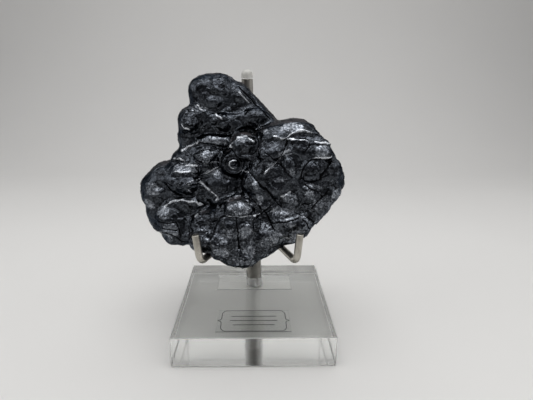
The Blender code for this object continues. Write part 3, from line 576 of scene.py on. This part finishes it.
def cap_material():
    """Soft vinyl, dip moulded: milky and a little see-through, with a dull skin."""
    made = new_material("soft vinyl, dip moulded")
    place = add(made, "TexCoord").outputs["Object"]
    cloud = add(made, "TexNoise", {"Vector": place, "Scale": 1 / (1.5 * MM), "Detail": 3.0})
    colour = add(made, "Mix", {0: cloud.outputs["Fac"], 6: linear("D8D7D2"), 7: linear("F0EFEB")},
                 data_type="RGBA")
    rough = add(made, "MapRange", {"Value": cloud.outputs["Fac"], "To Min": 0.3, "To Max": 0.45})
    relief = add(made, "Bump", {"Height": cloud.outputs["Fac"], "Distance": 0.03 * MM, "Strength": 0.4})
    shader = add(made, "BsdfPrincipled", {"Base Color": colour.outputs[2], "Roughness": rough.outputs[0],
                                          "IOR": 1.5, "Transmission Weight": 0.55,
                                          "Normal": relief.outputs[0]})
    return finish_material(made, shader)


def film_material():
    """Polyester label film, clear and glossy, with a faint orange-peel from its glue."""
    made = new_material("polyester film, clear")
    place = add(made, "TexCoord").outputs["Object"]
    peel = add(made, "TexNoise", {"Vector": place, "Scale": 1 / (2.5 * MM), "Detail": 2.0})
    rough = add(made, "MapRange", {"Value": peel.outputs["Fac"], "To Min": 0.05, "To Max": 0.14})
    relief = add(made, "Bump", {"Height": peel.outputs["Fac"], "Distance": 0.02 * MM, "Strength": 0.3})
    shader = add(made, "BsdfPrincipled", {"Base Color": linear("F4F5F4"), "Roughness": rough.outputs[0],
                                          "IOR": 1.5, "Transmission Weight": 1.0,
                                          "Normal": relief.outputs[0]})
    return finish_material(made, shader)


def ink_material():
    """Thermal transfer print: flat near-black resin with a little uneven cover."""
    made = new_material("resin ink, printed")
    place = add(made, "TexCoord").outputs["Object"]
    cover = add(made, "TexNoise", {"Vector": place, "Scale": 1 / (0.4 * MM), "Detail": 2.0})
    colour = add(made, "Mix", {0: cover.outputs["Fac"], 6: linear("1D1D1E"), 7: linear("3B3B3C")},
                 data_type="RGBA")
    rough = add(made, "MapRange", {"Value": cover.outputs["Fac"], "To Min": 0.4, "To Max": 0.6})
    shader = add(made, "BsdfPrincipled", {"Base Color": colour.outputs[2], "Roughness": rough.outputs[0]})
    return finish_material(made, shader)


def paper_material():
    """Uncoated label paper: matt white with a faint fibre mottle."""
    made = new_material("label paper, uncoated")
    place = add(made, "TexCoord").outputs["Object"]
    fibre = add(made, "TexNoise", {"Vector": place, "Scale": 1 / (0.5 * MM), "Detail": 4.0})
    colour = add(made, "Mix", {0: fibre.outputs["Fac"], 6: linear("E4E3E0"), 7: linear("F6F5F3")},
                 data_type="RGBA")
    relief = add(made, "Bump", {"Height": fibre.outputs["Fac"], "Distance": 0.02 * MM, "Strength": 0.5})
    shader = add(made, "BsdfPrincipled", {"Base Color": colour.outputs[2], "Roughness": 0.75,
                                          "Normal": relief.outputs[0]})
    return finish_material(made, shader)


def sweep_material():
    """Background paper, smooth and very slightly coated, pale warm grey."""
    made = new_material("background paper")
    place = add(made, "TexCoord").outputs["Object"]
    cloud = add(made, "TexNoise", {"Vector": place, "Scale": 1 / (160 * MM), "Detail": 2.0})
    colour = add(made, "Mix", {0: cloud.outputs["Fac"], 6: linear("D9D8D6"), 7: linear("DEDDDB")},
                 data_type="RGBA")
    shader = add(made, "BsdfPrincipled", {"Base Color": colour.outputs[2], "Roughness": 0.6,
                                          "Specular IOR Level": 0.3})
    return finish_material(made, shader)


def piece(name, bm, material, slot=None):
    """A finished mesh as a piece, which rides on the one body when it is given a slot."""
    mesh = bpy.data.meshes.new(name)
    bm.to_mesh(mesh)
    bm.free()
    mesh.shade_smooth()
    obj = bpy.data.objects.new(name, mesh)
    bpy.context.scene.collection.objects.link(obj)
    mesh.materials.append(material)
    if slot:
        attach(obj, BODY)
    return obj


def bent_wire(node, material):
    """A round wire from the collar over one bend up to its prong, with softened ends."""
    corner, tip = (Vector(point) for point in PRONGS[node])
    hub = Vector(ARM_HUB)
    run = (corner - hub).normalized()
    rise = (tip - corner).normalized()
    start = hub + run * ARM_START
    turn = run.angle(rise)
    reach = ARM_BEND_RADIUS * math.tan(turn / 2)
    axis = run.cross(rise).normalized()
    inward = axis.cross(run)
    bend_start = corner - run * reach
    bm = bmesh.new()
    frame_matrix = run.to_track_quat("Z", "Y").to_matrix().to_4x4()
    ring = bmesh.ops.create_circle(bm, segments=WIRE_SIDES, radius=WIRE_DIAMETER / 2 * MM,
                                   matrix=Matrix.Translation(start * MM) @ frame_matrix)["verts"]
    first = list(dict.fromkeys(edge for vert in ring for edge in vert.link_edges))
    long = extend(bm, first, (bend_start - start) * MM)
    spun = bmesh.ops.spin(bm, geom=long, cent=(bend_start + inward * ARM_BEND_RADIUS) * MM, axis=axis,
                          dvec=(0, 0, 0), angle=turn, steps=ARM_BEND_STEPS, use_merge=False)
    bend_end = [part for part in spun["geom_last"] if isinstance(part, bmesh.types.BMEdge)]
    last = extend(bm, bend_end, (tip - corner - rise * reach) * MM)
    caps = bmesh.ops.edgeloop_fill(bm, edges=last)["faces"]
    caps += bmesh.ops.edgeloop_fill(bm, edges=first)["faces"]
    rims = list(dict.fromkeys(edge for face in caps for edge in face.edges))
    bmesh.ops.bevel(bm, geom=rims, offset=WIRE_END_ROUNDING * MM, affect="EDGES", segments=3,
                    profile=0.5, material=-1)
    bmesh.ops.recalc_face_normals(bm, faces=bm.faces)
    wire = piece(node + "_wire", bm, material, "steel")
    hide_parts(node)
    return wire


def extend(bm, ring, shift):
    """Extrudes a ring of edges by a shift and gives the new ring."""
    made = bmesh.ops.extrude_edge_only(bm, edges=ring)["geom"]
    verts = [part for part in made if isinstance(part, bmesh.types.BMVert)]
    bmesh.ops.translate(bm, verts=verts, vec=shift)
    new = set(verts)
    return [part for part in made if isinstance(part, bmesh.types.BMEdge) and set(part.verts) <= new]


def stone_base(cad):
    """The CAD stone's skin in small even faces, finer on the front, with its facets smoothed away."""
    bm = bmesh.new()
    bm.from_mesh(cad.data)
    bmesh.ops.remove_doubles(bm, verts=bm.verts, dist=0.002 * MM)
    mesh = bpy.data.meshes.new("stone_base")
    bm.to_mesh(mesh)
    bm.free()
    obj = bpy.data.objects.new("stone_base", mesh)
    bpy.context.scene.collection.objects.link(obj)
    remesh = obj.modifiers.new("even faces", "REMESH")
    remesh.mode = "VOXEL"
    remesh.voxel_size = VOXEL * MM
    smooth = obj.modifiers.new("smooth", "SMOOTH")
    smooth.factor = 0.5
    smooth.iterations = 3
    bpy.context.view_layer.update()
    even = bpy.data.meshes.new_from_object(obj.evaluated_get(bpy.context.evaluated_depsgraph_get()))
    bpy.data.objects.remove(obj)
    bm = bmesh.new()
    bm.from_mesh(even)
    bm.normal_update()
    front = [face for face in bm.faces if face.normal.y < -0.05]
    edges = list(dict.fromkeys(edge for face in front for edge in face.edges))
    bmesh.ops.subdivide_edges(bm, edges=edges, cuts=1, use_grid_fill=True)
    bmesh.ops.triangulate(bm, faces=[face for face in bm.faces if len(face.verts) > 4])
    for _ in range(2):
        bmesh.ops.smooth_vert(bm, verts=bm.verts, factor=0.5,
                              use_axis_x=True, use_axis_y=True, use_axis_z=True)
    return bm


def near_line(x, z, points):
    """Distance from each place to a line of points, and whether it lies on the line's upper left side."""
    best = np.full(len(x), 1e9)
    above = np.zeros(len(x), bool)
    for (ax, az), (bx, bz) in zip(points, points[1:]):
        ux, uz = bx - ax, bz - az
        share = np.clip(((x - ax) * ux + (z - az) * uz) / (ux * ux + uz * uz), 0, 1)
        off = np.hypot(x - ax - share * ux, z - az - share * uz)
        closer = off < best
        best = np.where(closer, off, best)
        above = np.where(closer, ux * (z - az) - uz * (x - ax) > 0, above)
    return best, above


def sample(function, places, size, shift=0.0):
    """A noise function at each place, with features of the given size."""
    return np.array([function(Vector(place) / size + Vector((shift, 0, 0))) for place in places])


def cell(place):
    """Distance to the middle of the nearest cell of a Voronoi pattern."""
    return noise.voronoi(place)[0][0]


def facets(places, size, shift):
    """Height of small flat plates, each tilted its own way about its middle."""
    heights = []
    for place in places:
        spot = Vector(place) / size + Vector((shift, 0, 0))
        middle = noise.voronoi(spot)[1][0]
        heights.append(noise.noise_vector(middle * 9.7).dot(spot - middle) * size)
    return np.array(heights)


def front_relief(x, z):
    """The named features on the front: their rise, and where pits, cracks, scars and satin lie."""
    rise = np.zeros(len(x))
    for cx, cz, rx, rz, height in BUMPS.values():
        rise = np.maximum(rise, height * (1 - ((x - cx) / rx) ** 2 - ((z - cz) / rz) ** 2))
    for cx, cz, rx, rz, depth in HOLLOWS.values():
        rise -= depth * np.exp(-(((x - cx) / rx) ** 2 + ((z - cz) / rz) ** 2) ** 1.5)
    pits = np.zeros(len(x))
    for cx, cz, radius, depth in PITS.values():
        pit = np.exp(-((x - cx) ** 2 + (z - cz) ** 2) / radius ** 2)
        rise -= depth * pit
        pits = np.maximum(pits, pit)
    for points, height, upper, lower in CRESTS.values():
        off, above = near_line(x, z, points)
        rise += height * np.maximum(0, 1 - off / np.where(above, upper, lower))
    crack_off = np.full(len(x), FAR)
    for points in CRACKS.values():
        off, _ = near_line(x, z, points)
        rise -= CRACK_DEPTH * np.exp(-(off / CRACK_WIDTH) ** 2)
        crack_off = np.minimum(crack_off, off)
    scar_off = np.full(len(x), FAR)
    for points in SCARS.values():
        off, _ = near_line(x, z, points)
        rise += SCAR_HEIGHT * np.exp(-(off / SCAR_WIDTH) ** 2)
        scar_off = np.minimum(scar_off, off)
    for cx, cz, radius in RINGS.values():
        off = np.hypot(x - cx, z - cz)
        moat = np.exp(-((off - radius) / MOAT_WIDTH) ** 2)
        rise -= MOAT_DEPTH * moat
        rise += RIM_HEIGHT * np.exp(-((off - radius - RIM_OFFSET) / RIM_WIDTH) ** 2)
        # the rings' moats take the pit mark too, so they are coloured dark as painted shade
        pits = np.maximum(pits, 0.5 * moat)
    return rise, pits, crack_off, scar_off


def satin_and_highlight_share(x, z, height):
    """How far the skin takes the satin tone: thinly low on the stone, more so lower down and to the right,
    and strongly in the named patches, where the bright_ ones are painted highlights.
    """
    satin = 0.62 * np.clip((88 - height + 0.35 * x) / 25, 0, 1)
    for cx, cz, rx, rz in SATIN_AND_HIGHLIGHTS.values():
        satin = np.maximum(satin, 1.15 * np.exp(-(((x - cx) / rx) ** 2 + ((z - cz) / rz) ** 2) ** 2))
    return satin


def stone(cad, material):
    """The stone's skin: the CAD shape with its named features, a fine grown relief and a broken back."""
    noise.seed_set(SEED)
    bm = stone_base(cad)
    mesh = bpy.data.meshes.new("hematite_skin")
    bm.to_mesh(mesh)
    bm.free()
    mesh.shade_smooth()
    count = len(mesh.vertices)
    co = np.empty(count * 3)
    normal = np.empty(count * 3)
    mesh.vertices.foreach_get("co", co)
    mesh.vertices.foreach_get("normal", normal)
    co = co.reshape(-1, 3) / MM
    normal = normal.reshape(-1, 3)

    # shares of front, grown skin, broken back and layered side
    facing = np.clip((-normal[:, 1] - 0.05) / 0.3, 0, 1)
    skin = np.clip((0.3 - normal[:, 1]) / 0.2, 0, 1)
    behind = np.clip((normal[:, 1] - 0.25) / 0.35, 0, 1)
    side = np.clip(1 - facing - behind, 0, 1)

    # the features' edges wander a little
    warp = sample(noise.noise_vector, co, WANDER_SIZE)
    x = co[:, 0] + WANDER * warp[:, 0]
    z = co[:, 2] + WANDER * warp[:, 2]
    rise, pits, crack_off, scar_off = front_relief(x, z)
    # satin tone: weathered satin patches, and painted highlights in the bright_ patches
    satin = satin_and_highlight_share(x, z, co[:, 2])

    # grown skin: lumps, domes on the upper lobes, tilted plates that calm down on the crown, swirls
    coarse = sample(noise.noise, co, LUMP_SIZE)
    fine = sample(noise.noise, co, GRAIN_SIZE, 7.0)
    cells = sample(cell, co, DOME_SIZE, 3.0)
    upper = np.clip((np.clip(-x, 0, 40) + np.clip(co[:, 2] - 90, 0, 40) - 10) / 20, 0, 1)
    rise = facing * rise + LUMP_HEIGHT * coarse + GRAIN_HEIGHT * fine
    rise += DOME_HEIGHT * upper * (0.45 - cells) * skin
    calm = np.clip((co[:, 2] - CALM_FROM) / 12, 0, 1)
    rise += skin * (PLATE_TILT - (PLATE_TILT - CALM_TILT) * calm) * facets(co, PLATE_SIZE, 5.0)
    swirl = np.sin(2 * math.pi * (coarse * 2.2 + 0.25 * x + 0.55 * z))
    rise += SWIRL_HEIGHT * swirl * skin

    # broken back with chips and slabs, and a side that shows its growth layers
    chips = sample(cell, co, CHIP_SIZE, 11.0)
    rise -= behind * (CHIP_DEPTH * np.minimum(1, chips) - SLAB_TILT * facets(co, SLAB_SIZE, 21.0))
    rise -= side * LAYER_STEP * ((co[:, 1] / LAYER_THICKNESS + 0.6 * coarse) % 1.0)
    co += normal * rise[:, None]
    mesh.vertices.foreach_set("co", (co * MM).ravel())

    marks = {
        "pit": pits * facing,
        "crack": crack_off + FAR * (1 - facing),
        "scar": scar_off + FAR * (1 - facing),
        "satin": satin * facing,
        "broken": np.maximum(behind, 0.5 * side),
    }
    for name, values in marks.items():
        attribute = mesh.attributes.new(name, "FLOAT", "POINT")
        attribute.data.foreach_set("value", values.astype(np.float32))
    mesh.update()
    mesh.materials.clear()
    mesh.materials.append(material)
    obj = bpy.data.objects.new("hematite_skin", mesh)
    bpy.context.scene.collection.objects.link(obj)
    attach(obj, BODY)
    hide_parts("hematite")
    return obj


def ribbon(bm, points, width, height, closed):
    """A flat printed line along points."""
    count = len(points)
    for i in range(count if closed else count - 1):
        a, b = Vector(points[i]), Vector(points[(i + 1) % count])
        middle = (a + b) / 2
        turn = Matrix.Rotation(math.atan2((b - a).y, (b - a).x), 4, "Z")
        size = Matrix.Diagonal(((b - a).length + width * CORNER_OVERLAP, width, PRINT_THICKNESS, 1.0))
        bmesh.ops.create_cube(bm, size=1.0, matrix=Matrix.Translation((*middle, height)) @ turn @ size)


def label_print(material):
    """The label's printed frame with bracketed ends, and plain ruled lines inside it."""
    low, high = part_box("label")
    top = high.z / MM + PRINT_LIFT
    cx, cy = (low.x + high.x) / 2 / MM, (low.y + high.y) / 2 / MM
    w, d = FRAME_HALF_WIDTH, FRAME_HALF_DEPTH
    bm = bmesh.new()
    quarter = [(w + 1.7, 0.0), (w + 0.3, 0.9), (w, 2.0), (w, d - 2.4), (w - 1.0, d - 0.6), (w - 2.0, d)]
    corners = quarter + [(-x, y) for x, y in reversed(quarter)]
    corners += [(-x, -y) for x, y in quarter[1:]] + [(x, -y) for x, y in reversed(quarter[1:])]
    corners = [(cx + x, cy + y) for x, y in corners]
    ribbon(bm, corners, FRAME_LINE, top, True)
    for row, half in RULED_ROWS:
        ribbon(bm, [(cx - half, cy + row), (cx + half, cy + row)], RULED_LINE, top, False)
    bmesh.ops.scale(bm, vec=(MM, MM, MM), verts=bm.verts)
    return piece("label_print", bm, material, "label_film")


def sweep(material):
    """Floor and backdrop in one curved sheet."""
    bm = bmesh.new()
    profile = [(FLOOR_FRONT, FLOOR_HEIGHT), (FLOOR_BACK, FLOOR_HEIGHT)]
    for degrees in range(6, 91, 6):
        turn = math.radians(degrees)
        profile.append((FLOOR_BACK + SWEEP_RADIUS * math.sin(turn),
                        FLOOR_HEIGHT + SWEEP_RADIUS * (1 - math.cos(turn))))
    profile.append((FLOOR_BACK + SWEEP_RADIUS, SWEEP_TOP))
    verts = [bm.verts.new((-SWEEP_HALF_WIDTH * MM, y * MM, z * MM)) for y, z in profile]
    edges = [bm.edges.new(pair) for pair in zip(verts, verts[1:])]
    made = bmesh.ops.extrude_edge_only(bm, edges=edges)["geom"]
    moved = [part for part in made if isinstance(part, bmesh.types.BMVert)]
    bmesh.ops.translate(bm, vec=(2 * SWEEP_HALF_WIDTH * MM, 0, 0), verts=moved)
    bmesh.ops.recalc_face_normals(bm, faces=bm.faces)
    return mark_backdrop(piece("sweep", bm, material))


def area_light(name, place, target, size, power):
    """A rectangular white softbox at place that faces target."""
    light = bpy.data.lights.new(name, "AREA")
    light.shape = "RECTANGLE"
    light.size, light.size_y = size[0] * MM, size[1] * MM
    light.energy = power
    obj = bpy.data.objects.new(name, light)
    bpy.context.scene.collection.objects.link(obj)
    obj.location = Vector(place) * MM
    obj.rotation_euler = (Vector(target) - Vector(place)).to_track_quat("-Z", "Y").to_euler()
    return obj


def world():
    """Pale walls at the sides and the back, and a darker room behind the camera."""
    made = bpy.data.worlds.new("light tent")
    bpy.context.scene.world = made
    made.use_nodes = True
    made.node_tree.nodes.clear()
    way = add(made, "TexCoord").outputs["Generated"]
    split = add(made, "SeparateXYZ", {"Vector": way})
    front = add(made, "MapRange", {"Value": split.outputs["Y"], "From Min": -0.85, "From Max": -0.2},
                interpolation_type="SMOOTHSTEP")
    above = add(made, "MapRange", {"Value": split.outputs["Z"], "From Min": 0.25, "From Max": 0.75},
                interpolation_type="SMOOTHSTEP")
    walls = add(made, "Mix", {0: above.outputs[0], 6: linear("B8B8B8"), 7: linear("ACACAC")},
                data_type="RGBA")
    tone = add(made, "Mix", {0: front.outputs[0], 6: linear("6C6C6E"), 7: walls.outputs[2]},
               data_type="RGBA")
    light = add(made, "Background", {"Color": tone.outputs[2], "Strength": 1.0})
    add(made, "OutputWorld", {"Surface": light.outputs[0]})


def camera():
    """The camera fitted to the block's six visible corners in the photograph."""
    data = bpy.data.cameras.new("camera")
    data.sensor_width = SENSOR
    data.lens = LENS
    data.clip_start = CLIP_NEAR * MM
    data.clip_end = CLIP_FAR * MM
    obj = bpy.data.objects.new("camera", data)
    bpy.context.scene.collection.objects.link(obj)
    yaw, pitch, roll = (math.radians(angle) for angle in (CAMERA_YAW, CAMERA_PITCH, CAMERA_ROLL))
    turn = Matrix.Rotation(-yaw, 4, "Z") @ Matrix.Rotation(math.pi / 2 + pitch, 4, "X")
    turn = turn @ Matrix.Rotation(roll, 4, "Z")
    obj.matrix_world = Matrix.Translation(Vector(CAMERA_PLACE) * MM) @ turn
    bpy.context.scene.camera = obj


nodes = frame["nodes"]
steel = steel_material("steel wire, nickel plated and tumbled", ("A8A49B", "BDB9B0"), 0.24, 0.36)
rod_steel = steel_material("steel rod, drawn", ("8B8984", "9D9A94"), 0.28, 0.4)
finishes = {
    "acrylic_base": acrylic_material(),
    "rod_sleeve": rod_steel,
    "rod": rod_steel,
    "rod_cap": cap_material(),
    "arm_collar": steel,
    "label": film_material(),
    "underside_sticker": paper_material(),
}
for name, finish in finishes.items():
    for material_slot in nodes[name].material_slots:
        material_slot.material = finish
stone(nodes["hematite"], hematite_material())
for name in PRONGS:
    bent_wire(name, steel)
label_print(ink_material())
sweep(sweep_material())
for light in LIGHTS:
    area_light(*light)
world()
camera()
# a plain transform, so that the pale floor and the dark stone keep the tones of the photograph
bpy.context.scene.view_settings.view_transform = "Standard"
